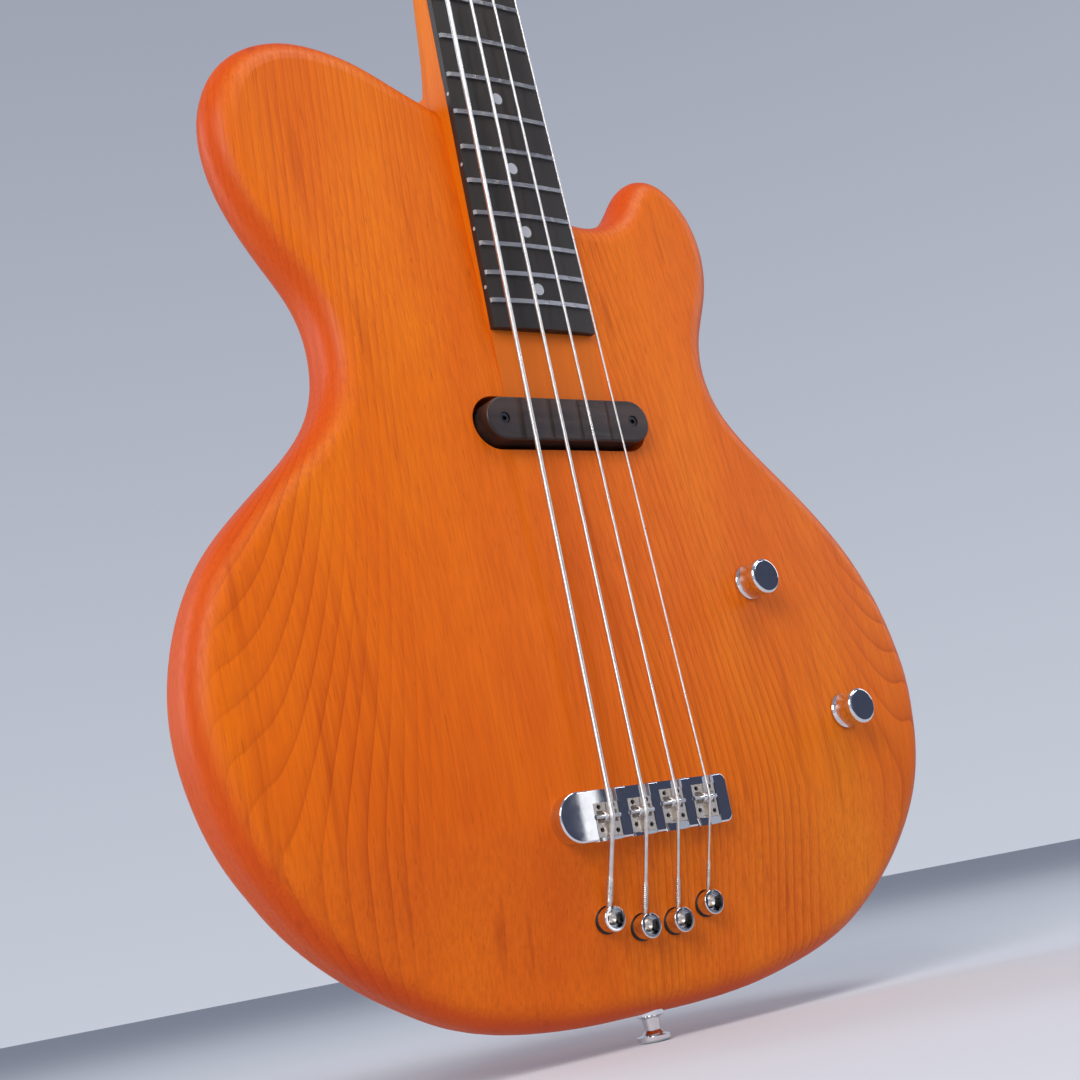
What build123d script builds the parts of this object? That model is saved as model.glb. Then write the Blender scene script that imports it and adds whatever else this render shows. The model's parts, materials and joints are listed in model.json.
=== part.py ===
from build123d import *
import math
import os

os.makedirs("parts", exist_ok=True)

# ----------------------------------------------------------------------------
# Four-string solid-body electric bass guitar, 34 inch scale, arched top.
# Frame: origin on the end strap pin's seat, +Z up the neck, +X to the treble
# side, -Y out of the playing face.  Millimetres.
# The neck frame (u, v, w) has u = X, v up the fret plane from the nominal
# saddle line and w = height over the fret crowns; the neck leans back TILT.
# ----------------------------------------------------------------------------
TILT = math.radians(1.5)
ST, CT = math.sin(TILT), math.cos(TILT)
ORG = Vector(0, -33.6, 95.5)
SCALE = 863.6
NUT_W, TAPER = 40.0, 0.03835
BOARD_TOP, BOARD_BOTTOM, BOARD_R = -1.1, -6.1, 305.0
V_BOARD_END, V_TENON_END, V_HEEL = 242.3, 206.2, 384.0
TENON_HW, CHANNEL_FLOOR = 31.9, -31.0
FRETS = 21
BACK = 20.0
HEAD_TILT = math.radians(10)
HEAD_T = 15.0

PK_Z, PK_L, PK_W, PK_TOP, PK_FLOOR = 287.6, 101.2, 22.3, -30.2, -4.0
RC_L, RC_W = 107.6, 28.2
BR_L, BR_R, BR_Z0, BR_Z1 = -57.2, 45.7, 79.8, 103.5
BR_SEAT, BR_TOP, BR_CHAN = -27.0, -36.5, -32.5
CHANNELS = ((-37.6, -22.9), (-17.2, -2.6), (2.6, 17.4), (22.6, 37.7))
SAD_X = (-30.25, -9.9, 10.0, 30.15)
SAD_Z = (91.3, 91.5, 93.5, 93.6)
STR_R = (1.25, 1.0, 0.78, 0.56)
ROLLER_R, ROLLER_TOP = 2.6, -39.25
K = ((99.3, 200.6), (147.4, 128.4))
CAV_TOP, COVER_T = -17.0, 2.4
ANCH = ((-30.9, 44.7), (-10.8, 38.6), (9.4, 38.4), (29.8, 43.8))
JACK_X, JACK_Z = 215.5, 143.0
HORN_PIN = (-118.0, 462.0)
POSTS = ((-24.0, 52.0), (-24.0, 112.0), (24.0, 112.0), (24.0, 52.0))
NAMES = ("e", "a", "d", "g")

OUTLINE = [
    (0, -1.2), (36.8, -0.9), (70.3, 2), (91.1, 5.6), (113, 10.7), (135.6, 18.8), (156.5, 31), (174.4, 45.4),
    (187.6, 59.6), (198.5, 74.9), (206.6, 91.1), (212.4, 108), (215.9, 125.4), (217.7, 143.3), (216.1, 161.7),
    (212, 180.2), (205.3, 198.8), (195.3, 217.4), (181.5, 235.8), (164.8, 253.7), (146.2, 271.3), (129.7, 288.2),
    (119.1, 304.1), (115.6, 319.3), (117.8, 336.2), (126, 355), (135.2, 373.5), (140.2, 392.2), (139.6, 411),
    (134.1, 426.3), (124.3, 438), (112.5, 444.2), (100.8, 443.2), (90.8, 434.8), (81, 421.8), (67.5, 412), (50, 409.4),
    (34, 414.5), (18, 429), (2, 447), (-15, 461.5), (-34, 471.5), (-54, 481.5), (-72, 490), (-92.9, 495.5),
    (-112, 496.2), (-130, 491.4), (-145.5, 481), (-156, 465.5), (-160.6, 451), (-161.5, 435.8), (-159.2, 420.2),
    (-154, 404.6), (-146.3, 389.2), (-137.1, 374.1), (-128.2, 359.5), (-122.8, 344.9), (-121.2, 329.8), (-122.8, 314.2),
    (-129, 297.9), (-141, 281.8), (-157, 266.5), (-172.8, 252.1), (-186.4, 238.6), (-196.8, 225.5), (-204.3, 212.6),
    (-210, 199.5), (-214.1, 186.5), (-216.8, 173.5), (-218.1, 160.4), (-217.8, 147.3), (-216, 134), (-212.9, 120.7),
    (-208.5, 107.3), (-202.2, 93.6), (-194.2, 80.6), (-186, 68.9), (-174.2, 55.3), (-158.5, 41.4), (-144.9, 31.5),
    (-130.4, 22.6), (-112, 13), (-91, 5.9), (-70, 1.9), (-36.8, -0.9),
]
CROWN = [(-60, 6), (-24, 9.5), (0, 13.2), (24, 17.6), (44, 21.6), (68, 26.3), (92, 30), (118, 31), (150, 30.3), (200, 28),
         (250, 25), (288, 22.9), (310, 21.8), (338, 19.8), (385, 15.9), (438, 11.6), (470, 10.2), (500, 9.6), (580, 9.4)]


def crown(z):
    """Height of the arched face over the rim's mid-plane along the centreline."""
    for i in range(len(CROWN) - 1):
        if z <= CROWN[i + 1][0] or i == len(CROWN) - 2:
            break
    p = [CROWN[max(i - 1, 0)], CROWN[i], CROWN[i + 1], CROWN[min(i + 2, len(CROWN) - 1)]]
    h = p[2][0] - p[1][0]
    t = (z - p[1][0]) / h
    m1 = (p[2][1] - p[0][1]) / (p[2][0] - p[0][0]) * h
    m2 = (p[3][1] - p[1][1]) / (p[3][0] - p[1][0]) * h
    return ((2 * t ** 3 - 3 * t ** 2 + 1) * p[1][1] + (t ** 3 - 2 * t ** 2 + t) * m1
            + (-2 * t ** 3 + 3 * t ** 2) * p[2][1] + (t ** 3 - t ** 2) * m2)


def wood(x, z):
    """Y of the arched face."""
    h = crown(z) - x * x / 3600.0
    return -(9.0 + 2.0 * math.log(1.0 + math.exp((h - 9.0) / 2.0)))


def front(y, x0=0.0, z0=0.0):
    return Plane(origin=(x0, y, z0), x_dir=(1, 0, 0), z_dir=(0, -1, 0))


def cross(z, x0=0.0, y0=0.0):
    return Plane(origin=(x0, y0, z), x_dir=(1, 0, 0), z_dir=(0, 0, 1))


def side(x, y0=0.0, z0=0.0):
    return Plane(origin=(x, y0, z0), x_dir=(0, 1, 0), z_dir=(1, 0, 0))


def np3(u, v, w):
    """Neck frame to world."""
    return Vector(ORG.X + u, ORG.Y + v * ST - w * CT, ORG.Z + v * CT + w * ST)


def neck(w, u=0.0, v=0.0):
    """Plane facing the player: local x = u, y = v."""
    return Plane(origin=np3(u, v, w), x_dir=(1, 0, 0), z_dir=(0, -CT, ST))


def slice_at(v):
    """Plane across the neck: local x = u, y = w, extruding towards the body."""
    return Plane(origin=np3(0, v, 0), x_dir=(1, 0, 0), z_dir=(0, -ST, -CT))


HD = Vector(0, ST * math.cos(HEAD_TILT) + CT * math.sin(HEAD_TILT), CT * math.cos(HEAD_TILT) - ST * math.sin(HEAD_TILT))
HN = Vector(0, -HD.Z, HD.Y)
H0 = np3(0, SCALE + 5.0, BOARD_BOTTOM)


def hp3(p, q, r):
    """Headstock frame to world: p across, q up the face, r out of the face."""
    return Vector(H0.X + p, H0.Y + q * HD.Y + r * HN.Y, H0.Z + q * HD.Z + r * HN.Z)


def head(r, p=0.0, q=0.0):
    return Plane(origin=hp3(p, q, r), x_dir=(1, 0, 0), z_dir=(0, HN.Y, HN.Z))


def head_side(p, q, r, s):
    """Plane across a key shaft: normal along s*X."""
    return Plane(origin=hp3(p, q, r), x_dir=(0, HD.Y, HD.Z), z_dir=(s, 0, 0))


def half_w(v):
    return (NUT_W + TAPER * (SCALE - v)) / 2


def fret_v(n):
    return SCALE * 2 ** (-n / 12)


def save(builder, name):
    builder.part.label = name
    export_step(builder.part, f"parts/{name}.step")
    print(name, len(builder.part.solids()), round(builder.part.volume, 1))


# ---------------------------------------------------------------- body
grid = [[Vector(x, wood(x, z), z) for z in range(-30, 541, 15)] for x in range(-248, 249, 16)]
dome = Face.make_surface_from_array_of_points(grid, tol=0.02, min_deg=3, max_deg=5)
dome_block = extrude(dome, amount=80, dir=(0, 1, 0))

with BuildPart() as body:
    with BuildSketch(front(BACK)):
        with BuildLine():
            Spline(*OUTLINE, periodic=True)
        make_face()
    extrude(amount=BACK + 36)
    add(dome_block, mode=Mode.INTERSECT)
    back_loop = [e for e in body.edges() if e.center().Y > BACK - 1]
    for r in (15.0, 13.0, 10.0, 7.0):
        try:
            fillet(back_loop, radius=r)
            print("back rounding", r)
            break
        except Exception:
            continue
    top_loop = [e for e in body.edges() if e.center().Y < -3.0]
    for r in (14.0, 12.0, 10.0, 8.0, 6.0):
        try:
            fillet(top_loop, radius=r)
            print("front rounding", r)
            break
        except Exception:
            continue
    with BuildSketch(neck(CHANNEL_FLOOR)):
        with BuildLine():
            Polyline((-TENON_HW, V_TENON_END - 6), (TENON_HW, V_TENON_END - 6), (TENON_HW, V_BOARD_END),
                     (half_w(430), 430), (-half_w(430), 430), (-TENON_HW, V_BOARD_END), close=True)
        make_face()
    extrude(amount=60, mode=Mode.SUBTRACT)
    with BuildSketch(front(PK_FLOOR, 0, PK_Z)):
        SlotOverall(RC_L, RC_W)
    extrude(amount=40, mode=Mode.SUBTRACT)
    with BuildSketch(front(BR_SEAT)):
        with BuildLine():
            Polyline((BR_L + 11.85, BR_Z0), (BR_R - 4, BR_Z0))
            RadiusArc((BR_R - 4, BR_Z0), (BR_R, BR_Z0 + 4), -4)
            Line((BR_R, BR_Z0 + 4), (BR_R, BR_Z1 - 4))
            RadiusArc((BR_R, BR_Z1 - 4), (BR_R - 4, BR_Z1), -4)
            Line((BR_R - 4, BR_Z1), (BR_L + 11.85, BR_Z1))
            ThreePointArc((BR_L + 11.85, BR_Z1), (BR_L, (BR_Z0 + BR_Z1) / 2), (BR_L + 11.85, BR_Z0))
        make_face()
    extrude(amount=12, mode=Mode.SUBTRACT)
    with BuildSketch(front(CAV_TOP)):
        with Locations(*K):
            Circle(22)
        make_hull()
    extrude(amount=-60, mode=Mode.SUBTRACT)
    with BuildSketch(front(BACK - COVER_T)):
        with Locations(*K):
            Circle(29)
        make_hull()
    extrude(amount=-30, mode=Mode.SUBTRACT)
    for kx, kz in K:
        with BuildSketch(front(CAV_TOP + 2, kx, kz)):
            Circle(4.8)
        extrude(amount=30, mode=Mode.SUBTRACT)
        with BuildSketch(front(-23.2, kx, kz)):
            Circle(8.0)
        extrude(amount=12, mode=Mode.SUBTRACT)
    wd = Vector(K[0][0] - 36, 0, K[0][1] - (PK_Z - 4)).normalized()
    with BuildSketch(Plane(origin=Vector(36, -10, PK_Z - 4) - wd * 10, z_dir=(wd.X, 0, wd.Z))):
        Circle(4.0)
    extrude(amount=105, mode=Mode.SUBTRACT)
    with BuildSketch(side(150, 2, JACK_Z)):
        Circle(9.0)
    extrude(amount=100, mode=Mode.SUBTRACT)
    with BuildSketch(side(JACK_X - 2.4, 2, JACK_Z)):
        Circle(11.6)
    extrude(amount=30, mode=Mode.SUBTRACT)
    for ax, az in ANCH:
        with BuildSketch(front(-13.0, ax, az)):
            Circle(5.95)
        extrude(amount=30, mode=Mode.SUBTRACT)
        with BuildSketch(front(wood(ax, az) + 0.5, ax, az)):
            Circle(6.5)
        extrude(amount=12, mode=Mode.SUBTRACT)
    with BuildSketch(cross(-30)):
        Circle(7.2)
    extrude(amount=30, mode=Mode.SUBTRACT)
    with BuildSketch(cross(-30)):
        Circle(1.7)
    extrude(amount=58, mode=Mode.SUBTRACT)
    with BuildSketch(front(BACK - 24, *HORN_PIN)):
        Circle(1.7)
    extrude(amount=-60, mode=Mode.SUBTRACT)
    for sx in SAD_X:
        with BuildSketch(front(BR_SEAT + 16, sx, 87.2)):
            Circle(1.5)
        extrude(amount=17, mode=Mode.SUBTRACT)
save(body, "body")

# ---------------------------------------------------------------- neck
SECT = ((SCALE + 8, -21.3), (SCALE - 60, -22.0), (640.0, -23.2), (430.0, -25.4))
with BuildPart() as neck_wood:
    for v, d in SECT:
        hw = half_w(min(v, SCALE))
        with BuildSketch(slice_at(v)):
            with BuildLine():
                Polyline((-hw, -8.6), (-hw, BOARD_BOTTOM), (hw, BOARD_BOTTOM), (hw, -8.6))
                Spline((hw, -8.6), (hw * 0.72, d * 0.5 + -8.2), (0, d), (-hw * 0.72, d * 0.5 + -8.2), (-hw, -8.6),
                       tangents=[(0, -1), (0, 1)])
            make_face()
    loft(ruled=True)
with BuildPart() as neck_heel:
    for v, d, k in ((430.0, -25.4, 0.72), (412.0, -27.0, 0.76), (396.0, -29.4, 0.83), (V_HEEL - 6, -31.0, 0.90)):
        hw = half_w(v)
        with BuildSketch(slice_at(v)):
            with BuildLine():
                Polyline((-hw, -8.6), (-hw, BOARD_BOTTOM), (hw, BOARD_BOTTOM), (hw, -8.6))
                Spline((hw, -8.6), (hw * k, d * 0.5 * k / 0.72 - 8.2), (0, d), (-hw * k, d * 0.5 * k / 0.72 - 8.2), (-hw, -8.6),
                       tangents=[(0, -1), (0, 1)])
            make_face()
    loft(ruled=True)
head_pts = [(20.0, 0), (21.5, 8), (29, 21), (38.5, 36), (42.5, 54), (42.2, 80), (41, 106), (40, 128), (35, 147), (22, 159.5), (0, 164)]
with BuildPart() as neck_part:
    add(neck_wood.part)
    add(neck_heel.part)
    with BuildSketch(neck(CHANNEL_FLOOR)):
        with BuildLine():
            Polyline((-TENON_HW, V_TENON_END), (TENON_HW, V_TENON_END), (TENON_HW, V_BOARD_END),
                     (half_w(V_HEEL), V_HEEL), (-half_w(V_HEEL), V_HEEL), (-TENON_HW, V_BOARD_END), close=True)
        make_face()
    extrude(amount=BOARD_BOTTOM - CHANNEL_FLOOR)
    with BuildSketch(head(-HEAD_T)):
        with BuildLine():
            Line((-20, 0), (20, 0))
            Spline(*(head_pts + [(-x, y) for x, y in reversed(head_pts[:-1])]), tangents=[(0, 1), (0, -1)])
        make_face()
    extrude(amount=HEAD_T)
    # truss rod slot and adjuster pocket
    with BuildSketch(neck(-14.2)):
        with Locations((0, 590)):
            Rectangle(6.4, 580)
    extrude(amount=9, mode=Mode.SUBTRACT)
    with BuildSketch(head(-10.5)):
        with Locations((0, 11)):
            Rectangle(9.6, 26)
    extrude(amount=14, mode=Mode.SUBTRACT)
    for p, q in POSTS:
        with BuildSketch(head(-HEAD_T - 2, p, q)):
            Circle(6.0)
        extrude(amount=30, mode=Mode.SUBTRACT)
        for dq in (13.6, -19.6):
            with BuildSketch(head(-HEAD_T - 2, p, q + dq)):
                Circle(1.2)
            extrude(amount=10.2, mode=Mode.SUBTRACT)
save(neck_part, "neck")

# ---------------------------------------------------------------- board, frets, markers, nut
with BuildPart() as board:
    for v in (SCALE, V_BOARD_END):
        hw = half_w(v)
        sag = BOARD_R - math.sqrt(BOARD_R ** 2 - hw ** 2)
        with BuildSketch(slice_at(v)):
            with BuildLine():
                Polyline((-hw, BOARD_TOP - sag), (-hw, BOARD_BOTTOM), (hw, BOARD_BOTTOM), (hw, BOARD_TOP - sag))
                ThreePointArc((hw, BOARD_TOP - sag), (0, BOARD_TOP), (-hw, BOARD_TOP - sag))
            make_face()
    loft(ruled=True)
    for n in (3, 5, 7, 9, 12, 15, 17, 19, 21):
        vm = (fret_v(n - 1) + fret_v(n)) / 2
        us = (-9.5, 9.5) if n == 12 else (0.0,)
        for u in us:
            with BuildSketch(neck(BOARD_TOP - 1.6, u, vm)):
                Circle(3.2)
            extrude(amount=4, mode=Mode.SUBTRACT)
        with BuildSketch(Plane(origin=np3(-half_w(vm) - 1, vm, -3.7), x_dir=(0, ST, CT), z_dir=(1, 0, 0))):
            Circle(1.0)
        extrude(amount=3.0, mode=Mode.SUBTRACT)
save(board, "fretboard")

with BuildPart() as dots:
    for n in (3, 5, 7, 9, 12, 15, 17, 19, 21):
        vm = (fret_v(n - 1) + fret_v(n)) / 2
        us = (-9.5, 9.5) if n == 12 else (0.0,)
        for u in us:
            with BuildSketch(neck(BOARD_TOP - 1.6, u, vm)):
                Circle(3.2)
            extrude(amount=1.6 - u * u / (2 * BOARD_R))
save(dots, "fretboard_dots")

with BuildPart() as sdots:
    for n in (3, 5, 7, 9, 12, 15, 17, 19, 21):
        vm = (fret_v(n - 1) + fret_v(n)) / 2
        with BuildSketch(Plane(origin=np3(-half_w(vm), vm, -3.7), x_dir=(0, ST, CT), z_dir=(1, 0, 0))):
            Circle(1.0)
        extrude(amount=2.0)
save(sdots, "side_dots")

with BuildPart() as frets:
    for n in range(1, FRETS + 1):
        v = fret_v(n)
        hw = half_w(v) - 0.6
        low = [(hw * k / 7, BOARD_TOP - (hw * k / 7) ** 2 / (2 * BOARD_R)) for k in range(-7, 8)]
        high = [((hw - 0.6) * k / 7, -((hw - 0.6) * k / 7) ** 2 / (2 * BOARD_R)) for k in range(7, -8, -1)]
        with BuildSketch(slice_at(v + 1.2)):
            with BuildLine():
                Polyline(*low, *high, close=True)
            make_face()
        extrude(amount=2.4)
save(frets, "frets")

NUT_U = (-15.4, -5.13, 5.13, 15.4)
with BuildPart() as nut:
    with BuildSketch(slice_at(SCALE + 5.0)):
        with BuildLine():
            Polyline((-20, 0.6), (-20, BOARD_BOTTOM), (20, BOARD_BOTTOM), (20, 0.6))
            ThreePointArc((20, 0.6), (0, 1.3), (-20, 0.6))
        make_face()
    extrude(amount=5.0)
    for u, r in zip(NUT_U, STR_R):
        with BuildSketch(slice_at(SCALE + 6)):
            with Locations((u, 0.45 + r)):
                Circle(r + 0.03)
            with Locations((u, 0.45 + r + 3)):
                Rectangle(2 * r + 0.06, 6)
        extrude(amount=8, mode=Mode.SUBTRACT)
save(nut, "nut")

with BuildPart() as rod:
    with BuildSketch(slice_at(SCALE + 8)):
        with Locations((0, -10.4)):
            Circle(3.0)
    extrude(amount=560)
    with BuildSketch(slice_at(SCALE + 15)):
        with Locations((0, -12.2)):
            Circle(3.1)
    extrude(amount=8.0)
    with BuildSketch(slice_at(SCALE + 16)):
        with Locations((0, -12.2)):
            RegularPolygon(2.0, 6)
    extrude(amount=5, mode=Mode.SUBTRACT)
save(rod, "truss_rod")

with BuildPart() as rod_cover:
    with BuildSketch(head(0)):
        with BuildLine():
            Polyline((-9, 0.4), (9, 0.4), (9, 14), (5, 30), (-5, 30), (-9, 14), close=True)
        make_face()
    extrude(amount=1.8)
    fillet([e for e in rod_cover.edges() if abs(e.tangent_at(0.5).dot(Vector(0, HN.Y, HN.Z))) > 0.99], radius=1.6)
    with BuildSketch(head(-1, 0, 27)):
        Circle(1.3)
    extrude(amount=6, mode=Mode.SUBTRACT)
save(rod_cover, "truss_rod_cover")

# ---------------------------------------------------------------- pickup
with BuildPart() as pk_cover:
    with BuildSketch(front(PK_TOP + 15, 0, PK_Z)):
        SlotOverall(PK_L, PK_W)
    extrude(amount=15)
    fillet(pk_cover.faces().sort_by(Axis.Y)[0].edges(), radius=1.2)
    with BuildSketch(front(PK_TOP + 16, 0, PK_Z)):
        SlotOverall(66, 16.5)
    extrude(amount=13, mode=Mode.SUBTRACT)
    for sx in (-40.2, 40.2):
        with BuildSketch(front(PK_TOP + 16, sx, PK_Z)):
            Circle(1.7)
        extrude(amount=20, mode=Mode.SUBTRACT)
        with BuildSketch(front(PK_TOP + 2.6, sx, PK_Z)):
            Circle(3.0)
        extrude(amount=5, mode=Mode.SUBTRACT)
save(pk_cover, "pickup_cover")

with BuildPart() as pk_base:
    with BuildSketch(front(PK_TOP + 16.8, 0, PK_Z)):
        SlotOverall(PK_L - 3, PK_W - 3)
    extrude(amount=1.8)
    for sx in (-40.2, 40.2):
        with BuildSketch(front(PK_TOP + 18, sx, PK_Z)):
            Circle(1.5)
        extrude(amount=5, mode=Mode.SUBTRACT)
save(pk_base, "pickup_baseplate")

with BuildPart() as bobbin:
    for y in (PK_TOP + 14.9, PK_TOP + 5.0):
        with BuildSketch(front(y, 0, PK_Z)):
            SlotOverall(64, 14.5)
        extrude(amount=1.2)
    with BuildSketch(front(PK_TOP + 13.7, 0, PK_Z)):
        SlotOverall(55.2, 5.6)
    extrude(amount=8.7)
    with BuildSketch(front(PK_TOP + 16, 0, PK_Z)):
        Rectangle(48, 3.2)
    extrude(amount=15, mode=Mode.SUBTRACT)
save(bobbin, "pickup_bobbin")

with BuildPart() as coil:
    with BuildSketch(front(PK_TOP + 13.6, 0, PK_Z)):
        SlotOverall(62.6, 13.0)
        SlotOverall(55.4, 5.8, mode=Mode.SUBTRACT)
    extrude(amount=7.3)
save(coil, "pickup_coil")

with BuildPart() as magnet:
    with BuildSketch(front(PK_TOP + 14.8, 0, PK_Z)):
        Rectangle(47.8, 3.1)
    extrude(amount=11.0)
save(magnet, "pickup_magnet")

with BuildPart() as pk_screws:
    for sx in (-40.2, 40.2):
        with BuildSketch(front(PK_TOP + 25.5, sx, PK_Z)):
            Circle(1.4)
        extrude(amount=23.5)
        with BuildSketch(front(PK_TOP + 2.6, sx, PK_Z)):
            Circle(2.75)
        extrude(amount=2.0)
        with BuildSketch(front(PK_TOP + 2.2, sx, PK_Z)):
            RegularPolygon(1.35, 6)
        extrude(amount=3, mode=Mode.SUBTRACT)
save(pk_screws, "pickup_screws")

# ---------------------------------------------------------------- bridge
with BuildPart() as bridge:
    with BuildSketch(front(BR_SEAT)):
        with BuildLine():
            Polyline((BR_L + 11.85, BR_Z0), (BR_R - 4, BR_Z0))
            RadiusArc((BR_R - 4, BR_Z0), (BR_R, BR_Z0 + 4), -4)
            Line((BR_R, BR_Z0 + 4), (BR_R, BR_Z1 - 4))
            RadiusArc((BR_R, BR_Z1 - 4), (BR_R - 4, BR_Z1), -4)
            Line((BR_R - 4, BR_Z1), (BR_L + 11.85, BR_Z1))
            ThreePointArc((BR_L + 11.85, BR_Z1), (BR_L, (BR_Z0 + BR_Z1) / 2), (BR_L + 11.85, BR_Z0))
        make_face()
    extrude(amount=BR_SEAT - BR_TOP)
    fillet(bridge.faces().sort_by(Axis.Y)[0].edges(), radius=0.9)
    for x0, x1 in CHANNELS:
        with BuildSketch(front(BR_CHAN, (x0 + x1) / 2, (BR_Z0 + BR_Z1) / 2)):
            Rectangle(x1 - x0, 40)
        extrude(amount=10, mode=Mode.SUBTRACT)
    for sx in SAD_X:
        with BuildSketch(front(BR_SEAT + 1, sx, 87.2)):
            Circle(1.7)
        extrude(amount=10, mode=Mode.SUBTRACT)
        with BuildSketch(front(BR_CHAN + 2.2, sx, 87.2)):
            Circle(3.0)
        extrude(amount=5, mode=Mode.SUBTRACT)
save(bridge, "bridge_base")

with BuildPart() as br_screws:
    for sx in SAD_X:
        with BuildSketch(front(BR_SEAT + 15, sx, 87.2)):
            Circle(1.5)
        extrude(amount=18.5)
        with BuildSketch(front(BR_CHAN + 2.2, sx, 87.2)):
            Circle(2.9)
        extrude(amount=2.0)
        with BuildSketch(front(BR_CHAN + 1.2, sx, 87.2)):
            Rectangle(1.2, 4.2)
            Rectangle(4.2, 1.2)
        extrude(amount=3, mode=Mode.SUBTRACT)
save(br_screws, "bridge_screws")

AX_Y = ROLLER_TOP + ROLLER_R
SAD_W, SAD_TOP, SAD_BOT = 14.1, -36.3, -32.6
HOLES = ((-4.2, 3.9), (4.2, 4.2), (-4.4, -6.6), (4.6, -7.6))
with BuildPart() as saddles:
    for sx, sz in zip(SAD_X, SAD_Z):
        with BuildSketch(front(SAD_BOT, sx, sz)):
            with BuildLine():
                Polyline((-SAD_W / 2, 5.8), (SAD_W / 2, 5.8), (SAD_W / 2, -10.0), (1.9, -10.0), (1.9, -9.0), (-1.9, -9.0),
                         (-1.9, -10.0), (-SAD_W / 2, -10.0), close=True)
            make_face()
        extrude(amount=SAD_BOT - SAD_TOP)
        with BuildSketch(front(-33.6, sx, sz - 0.75)):
            Rectangle(11.8, 5.7)
        extrude(amount=5, mode=Mode.SUBTRACT)
        with BuildSketch(side(sx - 10, AX_Y, sz - 0.75)):
            Circle(1.15)
        extrude(amount=20, mode=Mode.SUBTRACT)
        with BuildSketch(front(-34.3, sx, sz)):
            with BuildLine():
                Polyline((-1.1, -3.0), (1.1, -3.0), (2.6, -10.5), (-2.6, -10.5), close=True)
            make_face()
        extrude(amount=5, mode=Mode.SUBTRACT)
        with BuildSketch(front(-35.4, sx, sz + 4)):
            Rectangle(0.7, 6)
        extrude(amount=5, mode=Mode.SUBTRACT)
        for hx, hz in HOLES:
            with BuildSketch(front(SAD_BOT + 1, sx + hx, sz + hz)):
                Circle(1.15)
            extrude(amount=6, mode=Mode.SUBTRACT)
save(saddles, "saddles")

with BuildPart() as grubs:
    for sx, sz in zip(SAD_X, SAD_Z):
        for hx, hz in HOLES:
            with BuildSketch(front(BR_CHAN, sx + hx, sz + hz)):
                Circle(1.1)
            extrude(amount=2.6)
            with BuildSketch(front(BR_CHAN - 1.4, sx + hx, sz + hz)):
                RegularPolygon(0.65, 6)
            extrude(amount=3, mode=Mode.SUBTRACT)
save(grubs, "saddle_screws")

with BuildPart() as axles:
    for sx, sz in zip(SAD_X, SAD_Z):
        with BuildSketch(side(sx - SAD_W / 2 + 0.1, AX_Y, sz - 0.75)):
            Circle(1.1)
        extrude(amount=SAD_W - 0.2)
save(axles, "saddle_axles")

STR_X = (-30.6, -10.2, 10.2, 30.6)
with BuildPart() as rollers:
    for sx, sz, tx in zip(SAD_X, SAD_Z, STR_X):
        with BuildSketch(side(tx - 2.7, AX_Y, sz - 0.75)):
            Circle(ROLLER_R)
            Circle(1.12, mode=Mode.SUBTRACT)
        extrude(amount=5.4)
    fillet([e for e in rollers.edges() if e.geom_type == GeomType.CIRCLE and abs(e.radius - ROLLER_R) < 0.01], radius=0.4)
save(rollers, "saddle_rollers")

# ---------------------------------------------------------------- anchors
RIM = -28.5
with BuildPart() as anchors:
    for ax, az in ANCH:
        with BuildSketch(front(-13.0, ax, az)):
            Circle(5.9)
        extrude(amount=-13.0 - RIM)
        with BuildSketch(front(-19.6, ax, az)):
            Circle(4.6)
        extrude(amount=20, mode=Mode.SUBTRACT)
        with BuildSketch(front(-24.0, ax, az + 5)):
            Rectangle(3.0, 6)
        extrude(amount=20, mode=Mode.SUBTRACT)
    fillet([e for e in anchors.edges() if abs(e.center().Y - RIM) < 0.01 and e.length > 20 and e.geom_type == GeomType.CIRCLE and e.radius > 5], radius=0.5)
save(anchors, "string_anchors")

with BuildPart() as awash:
    for ax, az in ANCH:
        with BuildSketch(front(wood(ax, az) + 0.5, ax, az)):
            Circle(6.45)
            Circle(5.95, mode=Mode.SUBTRACT)
        extrude(amount=1.2)
save(awash, "anchor_washers")

# ---------------------------------------------------------------- strings
NAMES4 = list(zip(NAMES, STR_R, ANCH, STR_X, SAD_Z, NUT_U, POSTS))
BALL_R = 3.0
balls = []


def unit(v):
    return v * (1.0 / v.length)


def corner(a, b, c, r):
    """Start, middle and end of the arc of radius r that rounds corner b."""
    d1, d2 = unit(b - a), unit(c - b)
    ang = math.acos(max(-1, min(1, d1.dot(d2))))
    t = r * math.tan(ang / 2)
    inner = unit(d2 - d1)
    mid = b + inner * (r / math.cos(ang / 2) - r)
    return b - d1 * t, mid, b + d2 * t


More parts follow.
